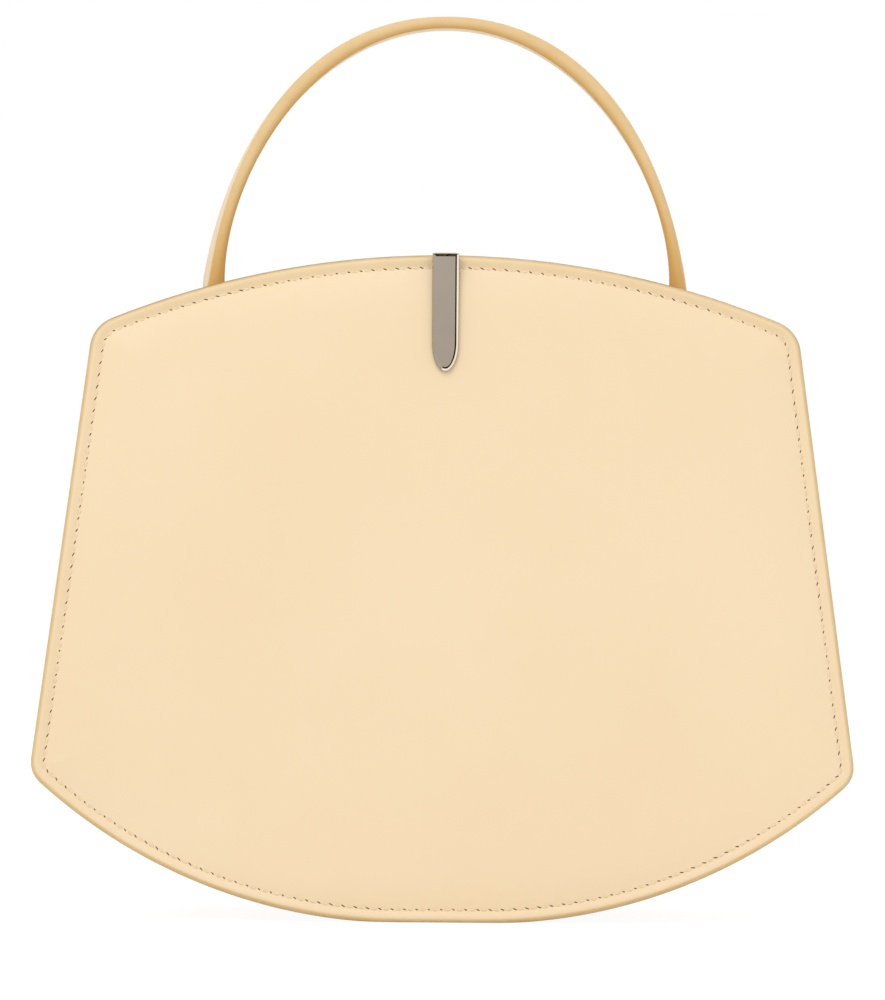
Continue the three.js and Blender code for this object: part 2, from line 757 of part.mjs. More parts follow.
function lugGeometry(sign) {
  const plateFace = -GUSSET_FACE;
  const across = (from, to) => [sign * from, sign * to].sort((a, b) => a - b);
  const halfHeight = LUG_PLATE_HEIGHT / 2;
  const plate = block(
    across(lugInner, lugInner + LUG_PLATE_WIDTH),
    [plateFace, plateFace + LUG],
    [lugMiddle - halfHeight, lugMiddle + halfHeight],
  );
  const ear = new THREE.Shape();
  ear.moveTo(plateFace, lugMiddle - halfHeight);
  ear.lineTo(pivotOnBack.y, pivotOnBack.z - LUG_EAR_RADIUS);
  ear.absarc(pivotOnBack.y, pivotOnBack.z, LUG_EAR_RADIUS, -Math.PI / 2, Math.PI / 2);
  ear.lineTo(plateFace, lugMiddle + halfHeight);
  const earPlate = alongX(ear, LUG).translate(sign * (lugInner + LUG / 2), 0, 0);
  const postHole = rodAlongX(POST_RADIUS + RUNNING, [-THROUGH, THROUGH], pivotOnBack.y, pivotOnBack.z);
  const rivetHoles = lugRivets.map(({ x, height }) => hole(LUG_RIVET_RADIUS + FIT, x, height));
  return cut(join([plate, earPlate]), [postHole, ...rivetHoles]);
}
addPiece(back, "handle_lug_left", lugGeometry(1), "metal");
addPiece(back, "handle_lug_right", lugGeometry(-1), "metal");

for (const { name, x, height } of lugRivets) {
  const seat = -GUSSET_FACE + LUG + GLUE_GAP;
  const piece = addPiece(back, name, rivet(LUG_RIVET_RADIUS, seat + BOARD_FACE), "metal");
  piece.rotation.z = Math.PI;
  piece.position.set(x, seat, height);
}

// Two-part screws: a hollow post from inside the strap and a screw from outside the lug, both along X

const postLength = HANDLE_BASE_THICKNESS + FIT + LUG;
const postBore = SCREW_RADIUS + FIT;
const postProfile = [
  [0, -POST_HEAD],
  [POST_HEAD_RADIUS, -POST_HEAD],
  [POST_HEAD_RADIUS, 0],
  [POST_RADIUS, 0],
  [POST_RADIUS, GLUE_GAP + postLength],
  [postBore, GLUE_GAP + postLength],
  [postBore, POST_HEAD],
  [0, POST_HEAD],
];
const screwProfile = [
  [0, -POST_HEAD],
  [POST_HEAD_RADIUS, -POST_HEAD],
  [POST_HEAD_RADIUS, 0],
  [SCREW_RADIUS, 0],
  [SCREW_RADIUS, postLength - POST_HEAD],
  [0, postLength - POST_HEAD],
];
for (const [side, sign] of [
  ["left", -1],
  ["right", 1],
]) {
  const post = addPiece(bag, `handle_post_${side}`, turned(postProfile), "metal");
  post.rotation.z = (-sign * Math.PI) / 2;
  post.position.set(sign * (handleInnerX - GLUE_GAP), 0, pivotHeight);
  const screw = addPiece(bag, `handle_screw_${side}`, turned(screwProfile), "metal");
  screw.rotation.z = (sign * Math.PI) / 2;
  screw.position.set(sign * (handleInnerX + postLength + GLUE_GAP), 0, pivotHeight);
}

export default bag;
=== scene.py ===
import math

import bmesh
import bpy
import numpy as np
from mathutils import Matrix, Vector, noise


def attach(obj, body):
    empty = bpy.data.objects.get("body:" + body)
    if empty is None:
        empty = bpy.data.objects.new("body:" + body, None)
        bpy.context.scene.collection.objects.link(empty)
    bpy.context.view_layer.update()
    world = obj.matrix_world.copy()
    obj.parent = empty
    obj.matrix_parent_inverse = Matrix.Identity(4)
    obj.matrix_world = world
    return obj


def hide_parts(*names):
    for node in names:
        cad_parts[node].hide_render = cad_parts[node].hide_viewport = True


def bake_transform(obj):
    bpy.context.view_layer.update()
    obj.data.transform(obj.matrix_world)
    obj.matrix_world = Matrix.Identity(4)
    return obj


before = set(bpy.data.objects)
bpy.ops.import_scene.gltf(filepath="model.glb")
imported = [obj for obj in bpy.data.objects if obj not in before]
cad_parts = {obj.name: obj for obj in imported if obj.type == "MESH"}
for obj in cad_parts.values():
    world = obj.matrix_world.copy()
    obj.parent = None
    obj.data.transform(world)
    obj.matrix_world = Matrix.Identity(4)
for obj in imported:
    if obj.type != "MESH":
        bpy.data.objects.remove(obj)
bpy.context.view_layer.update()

scene = bpy.context.scene
MM = 0.001
FRONT, BACK = -1, 1

# Panel outline and lean, as in the CAD source
PANEL_HEIGHT = 200
TOP_HALF_WIDTH = 105.6
BOTTOM_HALF_WIDTH = 122.7
TOP_RADIUS = 263
BOTTOM_FLAT = 12
BOTTOM_RADIUS = 161.5
TOP_CORNER = 10.5
BOTTOM_CORNER = 8
LEAST_CORNER = 1
BOTTOM_DEPTH = 78
TOP_DEPTH = 34
LEAN = math.asin((BOTTOM_DEPTH - TOP_DEPTH) / 2 / PANEL_HEIGHT)
SIN, COS = math.sin(LEAN), math.cos(LEAN)
PANEL_MIDDLE = 97

# Panel layers, as levels outwards from the face of the stitched edge
LINING_FACE = -3.4
PANEL_BACK = -4.2
GUSSET_FACE = -4.4
GUSSET = 1.2
LINING = 0.8

# Panel edge, seam and crown
EDGE_RUN = 1.7
EDGE_MIDDLE = -2.1
BEAD = 0.2
STITCH_INSET = 4
VALLEY = -0.42
CROWN = 1.3
CROWN_RUN = 16
BELLY = 0.9
WAVE = 0.14
WAVE_LENGTH = 60
MESH_STEP = 0.93
NOTCH_HALF = 3.5
NOTCH_EASE = 0.3
NOTCH_DEPTH = 1.75
NOTCH_POINTS = (0, 1.1, 2.2, 3.0, 3.4, 3.5, 3.57, 3.65, 3.73, 3.82, 4.4, 5.2)
BOARD_LEVEL = -0.3

# Rings of a panel's shell: its back as (inset, level), its rounded edge as turns, its face and its crown
BACK_RINGS = ((20, BOARD_LEVEL), (9.6, -0.6), (5, -1.9), (1.75, -1.9), (1.75, PANEL_BACK))
BACK_TURNS = (90, 70, 48, 24)
FRONT_TURNS = (0, 14, 28, 42, 56, 70, 80, 90)
FACE_INSETS = (2.1, 2.6, 3.1, 3.5, 3.8, 4, 4.2, 4.5, 5, 5.7, 6.6, 7.8, 9.4, 11.5, 14, 17, 20)
CROWN_SHARES = (0.92, 0.82, 0.71, 0.6, 0.49, 0.38, 0.27, 0.16, 0.06)
STITCH_PULL = 0.10
PULL_REACH = 0.9

# Seam stitches
STITCH_PITCH = 3.64
STITCH_BEAT = 12.9898
SLIT_TURN = math.radians(25)
SLIT_SIZE = (0.58, 0.15, 0.1)
SLIT_LEVEL = VALLEY + 0.12
SLIT_UNEVEN = 0.25
THREAD_TURN = 0.10
THREAD_SIZE = (1.28, 0.4, 0.16)
THREAD_LEVEL = VALLEY + 0.08
THREAD_BOW = 0.2

# Gusset
FLANGE_INSET = 0.8
WEB_INSET = 7
GUSSET_TOP = 168
GUSSET_FOLD = 21
FOLD_START = 47.4
LINING_INSET = 8.8
BASE_LINING_INSET = 10.6
WEB_POINTS = 25

# Pocket
POCKET_HALF = 55
POCKET_HEIGHT = 82
POCKET_BOTTOM = 66
POCKET_CORNER = 9
POCKET_SLACK = 1.8
POCKET_SEAM_INSET = 2.5
POCKET_STITCHES = 124
POCKET_THREAD = (0.95, 0.22, 0.18)
POCKET_THREAD_RINGS, POCKET_THREAD_AROUND = 4, 6
BINDING_OVER = 0.3
BINDING_STEPS = 60

# Clasp
CLASP_HALF = 4
BRIDGE_HALF = 3.42
TONGUE_IN, TONGUE_OUT = 1.5, 3.63
TONGUE_TOP, TONGUE_END = 200.0, 164.3
TONGUE_TIP = 8.7
BRIDGE_LOW, BRIDGE_TOP = 197.386, 199.186
HINGE_Y, HINGE_Z = 20.476, 198.286
KNUCKLE_RADIUS = 1.9
KNUCKLE_HALF = 1.7
KNUCKLE_BEVEL = 0.2
BRIDGE_FRONT = -19.3
BRIDGE_BEVEL = 0.25
TONGUE_RINGS = ((0.35, TONGUE_IN), (0.1, 1.58), (0, 1.75), (0, 2.66), (0.14, 2.885), (0.7, 3.405),
                (1.16, TONGUE_OUT))

# Handle
HANDLE_TOP = 271
HANDLE_APEX = 3.6
HANDLE_BASE = 188
HANDLE_OUTER_X = 73
HANDLE_INNER_X = 67.6
HANDLE_OUTER_BEND = ((40, HANDLE_TOP), (66.3, 237.5))
HANDLE_INNER_BEND = ((42.2, HANDLE_TOP - HANDLE_APEX), (69.4, 219))
HANDLE_SAMPLES = 900
HANDLE_STEPS = 72
HANDLE_HALF = 6
PIVOT_HEIGHT = 176
STRAP_DOME = 1.2
LEFT_TWIST, RIGHT_TWIST = 13, -4


# Colour and materials

def srgb(red, green, blue):
    """Linear colour from 8-bit sRGB values."""
    def linear(value):
        value /= 255
        return value / 12.92 if value <= 0.04045 else ((value + 0.055) / 1.055) ** 2.4
    return (linear(red), linear(green), linear(blue), 1.0)


class Nodes:
    """A material's node tree, with short calls to add and join nodes."""

    def __init__(self, name):
        self.material = bpy.data.materials.new(name)
        self.material.use_nodes = True
        self.tree = self.material.node_tree
        self.shader = self.tree.nodes["Principled BSDF"]
        self.place = self.add("ShaderNodeTexCoord").outputs["Object"]

    def add(self, kind, **values):
        node = self.tree.nodes.new(kind)
        for key, value in values.items():
            if key in node.inputs:
                node.inputs[key].default_value = value
            else:
                setattr(node, key, value)
        return node

    def link(self, source, target):
        self.tree.links.new(source, target)

    def noise(self, scale, detail=2.0, roughness=0.5, stretch=None):
        node = self.add("ShaderNodeTexNoise", Scale=scale, Detail=detail, Roughness=roughness)
        place = self.place
        if stretch:
            mapping = self.add("ShaderNodeMapping")
            mapping.inputs["Scale"].default_value = stretch
            self.link(place, mapping.inputs["Vector"])
            place = mapping.outputs["Vector"]
        self.link(place, node.inputs["Vector"])
        return node.outputs["Fac"]

    def cells(self, scale):
        node = self.add("ShaderNodeTexVoronoi", feature="SMOOTH_F1", Scale=scale, Smoothness=0.6)
        self.link(self.place, node.inputs["Vector"])
        return node.outputs["Distance"]

    def wave(self, scale, direction):
        node = self.add("ShaderNodeTexWave", bands_direction=direction, Scale=scale, Distortion=0.6)
        self.link(self.place, node.inputs["Vector"])
        return node.outputs["Fac"]

    def spread(self, value, low, high, start=0.3, end=0.7):
        node = self.add("ShaderNodeMapRange")
        for key, number in (("From Min", start), ("From Max", end), ("To Min", low), ("To Max", high)):
            node.inputs[key].default_value = number
        self.link(value, node.inputs["Value"])
        return node.outputs["Result"]

    def mix(self, share, first, second):
        node = self.add("ShaderNodeMix", data_type="RGBA")
        for value, socket in ((share, 0), (first, 6), (second, 7)):
            if isinstance(value, tuple):
                node.inputs[socket].default_value = value
            else:
                self.link(value, node.inputs[socket])
        return node.outputs[2]

    def attribute(self, name):
        return self.add("ShaderNodeAttribute", attribute_name=name).outputs["Fac"]

    def bump(self, height, strength, distance, below=None):
        node = self.add("ShaderNodeBump", Strength=strength, Distance=distance)
        self.link(height, node.inputs["Height"])
        if below:
            self.link(below, node.inputs["Normal"])
        return node.outputs["Normal"]

    def finish(self, colour=None, roughness=None, normal=None, **sockets):
        pairs = (("Base Color", colour), ("Roughness", roughness), ("Normal", normal))
        for name, value in pairs:
            if value is not None:
                self.link(value, self.shader.inputs[name])
        for name, value in sockets.items():
            self.shader.inputs[name.replace("_", " ")].default_value = value
        return self.material


def leather(name, light, dark, paint, paint_dark, deep_paint_and_shade):
    """Fine-grained leather.

    The mesh's paint runs from bare skin at 0 to edge paint at 1 and a deep colour at 2, which is painted
    shade on the strap and a dark edge line, partly painted shade, on the panels.
    """
    n = Nodes(name)
    clouds = n.spread(n.noise(14, 3), 0.15, 0.7)
    skin = n.mix(clouds, light, dark)
    pores = n.spread(n.noise(1500, 2), 0.0, 0.10, 0.45, 0.75)
    skin = n.mix(pores, skin, dark)
    edge = n.mix(n.spread(n.noise(160, 3), 0.0, 1.0), paint, paint_dark)
    painted = n.attribute("paint")
    colour = n.mix(painted, skin, edge)
    # Past 1 the deep colour mixes in: painted shade on the strap, a dark edge line that is partly painted
    # shade on the panels
    colour = n.mix(n.spread(painted, 0.0, 1.0, 1.0, 2.0), colour, deep_paint_and_shade)
    grain = n.bump(n.cells(1250), 0.10, 0.0002)
    grain = n.bump(n.noise(3200, 2), 0.06, 0.0001, grain)
    roughness = n.spread(n.noise(420, 2), 0.44, 0.56)
    return n.finish(colour, roughness, grain, Specular_IOR_Level=0.38, Sheen_Weight=0.05)


def suede(name, light, dark):
    """Napped lining with a faint weave under it."""
    n = Nodes(name)
    nap = n.spread(n.noise(900, 4, 0.6), 0.0, 1.0)
    clouds = n.spread(n.noise(30, 2), 0.0, 0.6)
    colour = n.mix(nap, light, n.mix(clouds, light, dark))
    weave = n.bump(n.wave(520, "X"), 0.10, 0.0002)
    weave = n.bump(n.wave(520, "Z"), 0.10, 0.0002, weave)
    weave = n.bump(n.noise(2400, 3), 0.25, 0.0002, weave)
    roughness = n.spread(n.noise(300, 2), 0.78, 0.92)
    return n.finish(colour, roughness, weave, Specular_IOR_Level=0.2, Sheen_Weight=0.25)


def polished(name, light, dark):
    """Polished plated metal with fine rubbing marks."""
    n = Nodes(name)
    colour = n.mix(n.spread(n.noise(60, 3), 0.0, 1.0), light, dark)
    marks = n.noise(900, 3, 0.5, (1.0, 1.0, 0.06))
    roughness = n.spread(marks, 0.07, 0.12)
    lines = n.bump(marks, 0.02, 0.00005)
    return n.finish(colour, roughness, lines, Metallic=1.0)


def fibre(name, light, dark):
    """Pressed fibre board."""
    n = Nodes(name)
    colour = n.mix(n.spread(n.noise(700, 4, 0.7), 0.0, 1.0), light, dark)
    rough = n.bump(n.noise(1800, 3), 0.3, 0.0002)
    return n.finish(colour, n.spread(n.noise(200), 0.8, 0.95), rough, Specular_IOR_Level=0.2)


def cord_finish(name, light, dark, shine):
    """Twisted waxed thread."""
    n = Nodes(name)
    colour = n.mix(n.spread(n.noise(1600, 2), 0.0, 1.0), light, dark)
    twist = n.bump(n.wave(1400, "DIAGONAL"), 0.4, 0.0001)
    return n.finish(colour, n.spread(n.noise(500), 0.5, 0.65), twist, Specular_IOR_Level=shine)


SKIN, SKIN_DARK = srgb(248, 225, 188), srgb(245, 219, 180)
PAINT, PAINT_DARK = srgb(232, 200, 142), srgb(226, 192, 132)
# The shell's deep colour is its dark edge line: edge paint, and along the top painted shade
shell_leather = leather("pale_leather", SKIN, SKIN_DARK, PAINT, PAINT_DARK, srgb(122, 95, 60))
# The strap's deep colour is painted shade for the inner side of its edges and its feet
strap_leather = leather("strap_leather", SKIN, SKIN_DARK, srgb(233, 201, 148), srgb(228, 194, 139),
                        srgb(222, 173, 92))
lining_suede = suede("lining_suede", srgb(236, 216, 180), srgb(222, 198, 158))
pewter = polished("polished_pewter", srgb(172, 161, 146), srgb(163, 152, 138))
board_fibre = fibre("board_fibre", srgb(196, 178, 146), srgb(168, 148, 114))
thread_finish = cord_finish("waxed_thread", srgb(247, 225, 189), srgb(240, 214, 174), 0.3)
# Painted shadow: the dark beads in the stitch slits stand for the shade inside each hole
painted_hole_shadow = cord_finish("thread_hole_painted_shadow", srgb(110, 64, 10), srgb(76, 42, 6), 0.02)


# Meshes

def add_piece(name, points, faces, material, paint=None):
    """A smooth-shaded mesh object from points in millimetres."""
    mesh = bpy.data.meshes.new(name)
    mesh.from_pydata((np.asarray(points, float) * MM).tolist(), [], faces)
    if paint is not None:
        layer = mesh.attributes.new("paint", "FLOAT", "POINT")
        layer.data.foreach_set("value", np.asarray(paint, np.float32))
    work = bmesh.new()
    work.from_mesh(mesh)
    bmesh.ops.recalc_face_normals(work, faces=work.faces)
    work.to_mesh(mesh)
    work.free()
    mesh.shade_smooth()
    mesh.materials.append(material)
    piece = bpy.data.objects.new(name, mesh)
    scene.collection.objects.link(piece)
    return piece


def ring_faces(rings, count, first=0, closed=True):
    """Quads between neighbouring rings of equally many points."""
    around = count if closed else count - 1
    faces = []
    for i in range(rings - 1):
        low, high = first + i * count, first + (i + 1) * count
        for j in range(around):
            k = (j + 1) % count
            faces.append((low + j, low + k, high + k, high + j))
    return faces


def fan(ring_start, count, middle):
    """Triangles from a closed ring to one point."""
    return [(ring_start + j, ring_start + (j + 1) % count, middle) for j in range(count)]


def dress(piece, body, slot, *nodes):
    """Puts a piece on its body, in place of its CAD nodes."""
    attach(piece, body)
    if nodes:
        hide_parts(*nodes)
    return piece


def smooth(value):
    value = np.clip(value, 0, 1)
    return value * value * (3 - 2 * value)


# Panel outline

TOP_CENTRE = np.array([0.0, PANEL_HEIGHT - TOP_RADIUS])
BOTTOM_CENTRE = np.array([BOTTOM_FLAT, BOTTOM_RADIUS])
side_top = np.array([TOP_HALF_WIDTH, TOP_CENTRE[1] + math.sqrt(TOP_RADIUS**2 - TOP_HALF_WIDTH**2)])
side_drop = math.sqrt(BOTTOM_RADIUS**2 - (BOTTOM_HALF_WIDTH - BOTTOM_FLAT) ** 2)
side_bottom = np.array([BOTTOM_HALF_WIDTH, BOTTOM_CENTRE[1] - side_drop])
SIDE_UP = (side_top - side_bottom) / np.linalg.norm(side_top - side_bottom)
SIDE_OUT = np.array([SIDE_UP[1], -SIDE_UP[0]])
SIDE_REACH = side_top @ SIDE_OUT


def sharp_corner(centre, radius, inset, sign):
    away = SIDE_REACH - inset - centre @ SIDE_OUT
    return centre + SIDE_OUT * away + SIDE_UP * sign * math.sqrt((radius - inset) ** 2 - away**2)


def arc(centre, radius, start, end, steps):
    turn = np.linspace(start, end, steps + 1)
    return centre + radius * np.column_stack([np.cos(turn), np.sin(turn)])


def top_arc(radius, end, steps):
    """Top arc from its middle to the right, with close points beside the rim notch."""
    near = [math.pi / 2 - x / TOP_RADIUS for x in NOTCH_POINTS]
    turn = np.concatenate([near, np.linspace(near[-1], end, steps + 2 - len(near))[1:]])
    return TOP_CENTRE + radius * np.column_stack([np.cos(turn), np.sin(turn)])


def half_outline(inset, steps):
    """Runs of points down the right-hand half: top, corner, side, corner, bottom and its flat."""
    top, corner, side, low_corner, bottom, flat = steps
    side_turn = math.atan2(SIDE_OUT[1], SIDE_OUT[0])
    upper_round = max(TOP_CORNER - inset, LEAST_CORNER)
    upper = sharp_corner(TOP_CENTRE, TOP_RADIUS, inset + upper_round, 1)
    upper_turn = math.atan2(*(upper - TOP_CENTRE)[::-1])
    lower_round = max(BOTTOM_CORNER - inset, LEAST_CORNER)
    lower = sharp_corner(BOTTOM_CENTRE, BOTTOM_RADIUS, inset + lower_round, -1)
    lower_turn = math.atan2(*(lower - BOTTOM_CENTRE)[::-1])
    runs = [
        top_arc(TOP_RADIUS - inset, upper_turn, top),
        arc(upper, upper_round, upper_turn, side_turn, corner),
        np.linspace(upper + SIDE_OUT * upper_round, lower + SIDE_OUT * lower_round, side + 1),
        arc(lower, lower_round, side_turn, lower_turn, low_corner),
        arc(BOTTOM_CENTRE, BOTTOM_RADIUS - inset, lower_turn, -math.pi / 2, bottom),
        np.linspace((BOTTOM_FLAT, inset), (0, inset), flat + 1),
    ]
    return runs


def run_steps(spacing):
    runs = half_outline(STITCH_INSET, (60, 8, 60, 8, 60, 4))
    lengths = [np.linalg.norm(np.diff(run, axis=0), axis=1).sum() for run in runs]
    least = (40, 5, 12, 4, 12, 2)
    return tuple(max(low, round(length / spacing)) for low, length in zip(least, lengths))


def outline(inset, steps):
    """Closed outline from the top middle, clockwise seen from outside the front."""
    runs = half_outline(inset, steps)
    right = np.vstack([run[:-1] for run in runs] + [runs[-1][-1:]])
    left = right[1:-1][::-1] * (-1, 1)
    return np.vstack([right, left])


def on_panel(flat, level, side):
    """Points of a panel, as x, height and level, in the bag's frame."""
    x, height = flat[:, 0], flat[:, 1]
    y = -BOTTOM_DEPTH / 2 + height * SIN - level * COS
    z = height * COS + level * SIN
    # The standing edge is pressed flat, softly, so that nothing dips under the floor
    z = (z + np.sqrt(z * z + 0.09)) / 2
    return np.column_stack([x, -side * y, z])


def lower_at_notch(flat, inset):
    """Dips the middle of the rim, where the clasp's bridge crosses it."""
    near = 1 - smooth((np.abs(flat[:, 0]) - NOTCH_HALF) / NOTCH_EASE)
    high = flat[:, 1] > PANEL_MIDDLE
    fade = 1 - smooth((inset - 2.0) / 4.0)
    dipped = flat.copy()
    dipped[:, 1] -= NOTCH_DEPTH * near * high * fade
    return dipped


# Panels: a turned, painted edge, a stitched valley and a crown that swells over the foam

FINE = run_steps(MESH_STEP)
SEAM = outline(STITCH_INSET, FINE)
seam_steps = np.linalg.norm(np.roll(SEAM, -1, axis=0) - SEAM, axis=1)
SEAM_AT = np.concatenate([[0], np.cumsum(seam_steps)[:-1]])
SEAM_LENGTH = seam_steps.sum()
STITCHES = round(SEAM_LENGTH / STITCH_PITCH)
PITCH = SEAM_LENGTH / STITCHES


def face_level(inset):
    """Level of the panel's face at an inset past its rounded edge."""
    if inset <= STITCH_INSET:
        t = (inset - EDGE_RUN) / (STITCH_INSET - EDGE_RUN)
        return BEAD + (VALLEY - BEAD) * float(smooth(t))
    t = min(1.0, (inset - STITCH_INSET) / CROWN_RUN)
    return VALLEY + (CROWN - VALLEY) * (1 - (1 - t) ** 2.4)


def swell(points, side):
    """Slow hand-made unevenness of the crown."""
    return np.array([
        WAVE * noise.noise(Vector((x / WAVE_LENGTH, height / WAVE_LENGTH, 7.3 * side)))
        for x, height in points
    ])


def burnish_and_painted_shade(flat):
    """Golden tint of the stitched strip, strongest along the top and none along the base: partly rubbing,
    partly painted shade where the top strip slopes away from the light.
    """
    height = flat[:, 1]
    return (0.13 + 0.2 * smooth((height - 160) / 20)) * smooth((height - 12) / 30)


def edge_line_and_painted_shade(flat):
    """Darker line at the very edge, mostly along the top: deep edge paint, and along the top also painted
    shade where the rim rolls away from the light.
    """
    return 0.2 + 0.8 * smooth((flat[:, 1] - 165) / 18)


def panel_shell(name, side):
    """A panel's leather: back, rounded edge, stitched strip and crown, in rings from back to front."""
    count = len(SEAM)
    pull = STITCH_PULL * np.cos(2 * math.pi * SEAM_AT / PITCH)
    rings, paint = [], []

    def put(inset, level, painted):
        flat = lower_at_notch(outline(inset, FINE), inset)
        rings.append(on_panel(flat, np.broadcast_to(level, count), side))
        paint.append(np.broadcast_to(painted, count))

    for inset, level in BACK_RINGS:
        put(inset, level, 0)
    for turn in BACK_TURNS:
        turn = math.radians(turn)
        put(EDGE_RUN * (1 - math.cos(turn)), EDGE_MIDDLE + (PANEL_BACK - EDGE_MIDDLE) * math.sin(turn), 1)
    for turn in FRONT_TURNS:
        turn = math.radians(turn)
        level = EDGE_MIDDLE + (BEAD - EDGE_MIDDLE) * math.sin(turn)
        inset = EDGE_RUN * (1 - math.cos(turn))
        # Edge paint, with a darker edge line that is partly painted shade along the top, and the golden
        # strip tint that is partly painted shade
        line = edge_line_and_painted_shade(outline(inset, FINE)) * float(1 - smooth((turn - 0.45) / 0.45))
        painted = float(1 - smooth((turn - 1.0) / 0.45))
        put(inset, level, np.maximum(painted + line, burnish_and_painted_shade(outline(inset, FINE))))
    for inset in FACE_INSETS:
        near = math.exp(-((inset - STITCH_INSET) / PULL_REACH) ** 2)
        flat = outline(inset, FINE)
        wave = swell(flat, side) * float(smooth((inset - 6) / 12))
        # Golden tint of the stitched strip: partly rubbing, partly painted shade along the top
        rubbing_and_painted_shade = burnish_and_painted_shade(flat) * (1 - float(smooth((inset - 3.3) / 0.9)))
        put(inset, face_level(inset) + near * pull + wave, rubbing_and_painted_shade)
    last = outline(FACE_INSETS[-1], FINE)
    middle = np.array([0.0, PANEL_MIDDLE])
    for share in CROWN_SHARES:
        flat = middle + share * (last - middle)
        level = CROWN + BELLY * (1 - share**2) + swell(flat, side)
        rings.append(on_panel(flat, level, side))
        paint.append(np.zeros(count))
    points = np.vstack(rings)
    front_tip = on_panel(middle[None], np.array([CROWN + BELLY]) + swell(middle[None], side), side)
    back_tip = on_panel(middle[None], np.array([BOARD_LEVEL]), side)
    faces = ring_faces(len(rings), count)
    faces += fan(0, count, len(points)) + fan((len(rings) - 1) * count, count, len(points) + 1)
    points = np.vstack([points, back_tip, front_tip])
    return add_piece(name, points, faces, shell_leather, np.concatenate([*paint, (0, 0)]))


def seam_places(path, pitch_count, offset=0.0):
    """Evenly spaced places along a closed path, with the path's direction there."""
    loop = np.vstack([path, path[:1]])
    along = np.concatenate([[0], np.cumsum(np.linalg.norm(np.diff(loop, axis=0), axis=1))])
    wanted = (np.arange(pitch_count) + offset) * along[-1] / pitch_count
    def at(s):
        return np.column_stack([np.interp(s % along[-1], along, loop[:, i]) for i in (0, 1)])
    ahead = at(wanted + 0.3) - at(wanted - 0.3)
    return at(wanted), ahead / np.linalg.norm(ahead, axis=1)[:, None]


def beads(places, directions, size, level, side, bow=0.0, rings=5, around=8, uneven=0.1):
    """Small rounded bodies laid along a seam; bow drops their ends and uneven varies their length."""
    points, faces = [], []
    longest, width, height = size
    for number, ((x, h), (dx, dh)) in enumerate(zip(places, directions)):
        first = len(points)
        length = longest * (0.9 + uneven * math.sin(STITCH_BEAT * number))
        for i in range(rings):
            u = -math.cos(math.pi * (i + 0.5) / rings)
            reach = math.sqrt(1 - u * u) ** 0.6
            for j in range(around):
                turn = 2 * math.pi * j / around
                across = width * reach * math.cos(turn)
                up = height * reach * math.sin(turn) - bow * u * u
                along = length * u
                flat = np.array([[x + dx * along - dh * across, h + dh * along + dx * across]])
                points.append(on_panel(flat, np.array([level + up]), side)[0])
        faces += ring_faces(rings, around, first)
        faces.append(tuple(range(first, first + around)))
        faces.append(tuple(range(first + (rings - 1) * around, first + rings * around)))
    return points, faces


def turned(directions, angle):
    c, s = math.cos(angle), math.sin(angle)
    return directions @ np.array([[c, s], [-s, c]])


def seam_stitches(prefix, side, body):
    """Thread along a panel's seam, and a dark bead in the slit that each stitch goes through: painted
    shadow in each hole.
    """
    threads, ahead = seam_places(SEAM, STITCHES, 0.5)
    along = turned(ahead, side * THREAD_TURN)
    points, faces = beads(threads, along, THREAD_SIZE, THREAD_LEVEL, side, THREAD_BOW)
    thread = add_piece(f"{prefix}_stitching", points, faces, thread_finish)
    dress(thread, body, "leather")
    # Dark beads in the slits, as painted shadow in the holes
    holes, ahead = seam_places(SEAM, STITCHES)
    along = turned(ahead, side * SLIT_TURN)
    points, faces = beads(holes, along, SLIT_SIZE, SLIT_LEVEL, side, uneven=SLIT_UNEVEN)
    hole = add_piece(f"{prefix}_stitch_holes", points, faces, painted_hole_shadow)
    dress(hole, body, "leather")


front_shell = panel_shell("front_shell", FRONT)
dress(front_shell, "front_panel", "leather", "front_leather", "front_foam")
back_shell = panel_shell("back_shell", BACK)
dress(back_shell, "shell", "leather", "back_leather", "back_foam")
seam_stitches("front", FRONT, "front_panel")
seam_stitches("back", BACK, "shell")


# Panel linings

COARSE = run_steps(3.0)
LINING_CUT = 1.95


def panel_lining(name, side, body, node):
    count = len(outline(0, COARSE))
    steps = ((40, LINING_FACE), (2.2, LINING_FACE), (LINING_CUT, LINING_FACE - 0.25),
             (LINING_CUT, PANEL_BACK + 0.25), (2.2, PANEL_BACK), (6, PANEL_BACK), (14, PANEL_BACK),
             (26, PANEL_BACK), (40, PANEL_BACK))
    rings = []
    for inset, level in steps:
        flat = lower_at_notch(outline(inset, COARSE), inset)
        rings.append(on_panel(flat, np.full(count, level), side))
    points = np.vstack(rings)
    faces = ring_faces(len(rings), count)
    faces += [tuple(range(count)), tuple(range(len(points) - count, len(points)))]
    lining = add_piece(name, points, faces, lining_suede)
    dress(lining, body, "lining", node)


panel_lining("front_lining_cloth", FRONT, "front_panel", "front_lining")
panel_lining("back_lining_cloth", BACK, "shell", "back_lining")


# Slip pocket on the back lining, slack at its mouth

def pocket_outline(inset):
    half, low = POCKET_HALF - inset, POCKET_BOTTOM + inset
    top = POCKET_BOTTOM + POCKET_HEIGHT - inset
    radius = max(POCKET_CORNER - inset, 1)
    left = arc(np.array([-half + radius, low + radius]), radius, math.pi, 1.5 * math.pi, 8)
    right = arc(np.array([half - radius, low + radius]), radius, 1.5 * math.pi, 2 * math.pi, 8)
    return np.vstack([
        np.linspace((-half, top), (-half, low + radius), 20)[:-1],
        left[:-1],
        np.linspace((-half + radius, low), (half - radius, low), 28)[:-1],
        right[:-1],
        np.linspace((half, low + radius), (half, top), 20)[:-1],
        np.linspace((half, top), (-half, top), 34)[:-1],
    ])


def pocket_slack(flat):
    across = np.cos(np.clip(flat[:, 0] / POCKET_HALF, -1, 1) * math.pi / 2) ** 2
    up = smooth((flat[:, 1] - POCKET_BOTTOM - 20) / (POCKET_HEIGHT - 20))
    return -POCKET_SLACK * across * up


def pocket_ring(flat, level):
    return on_panel(flat, level + pocket_slack(flat), BACK)


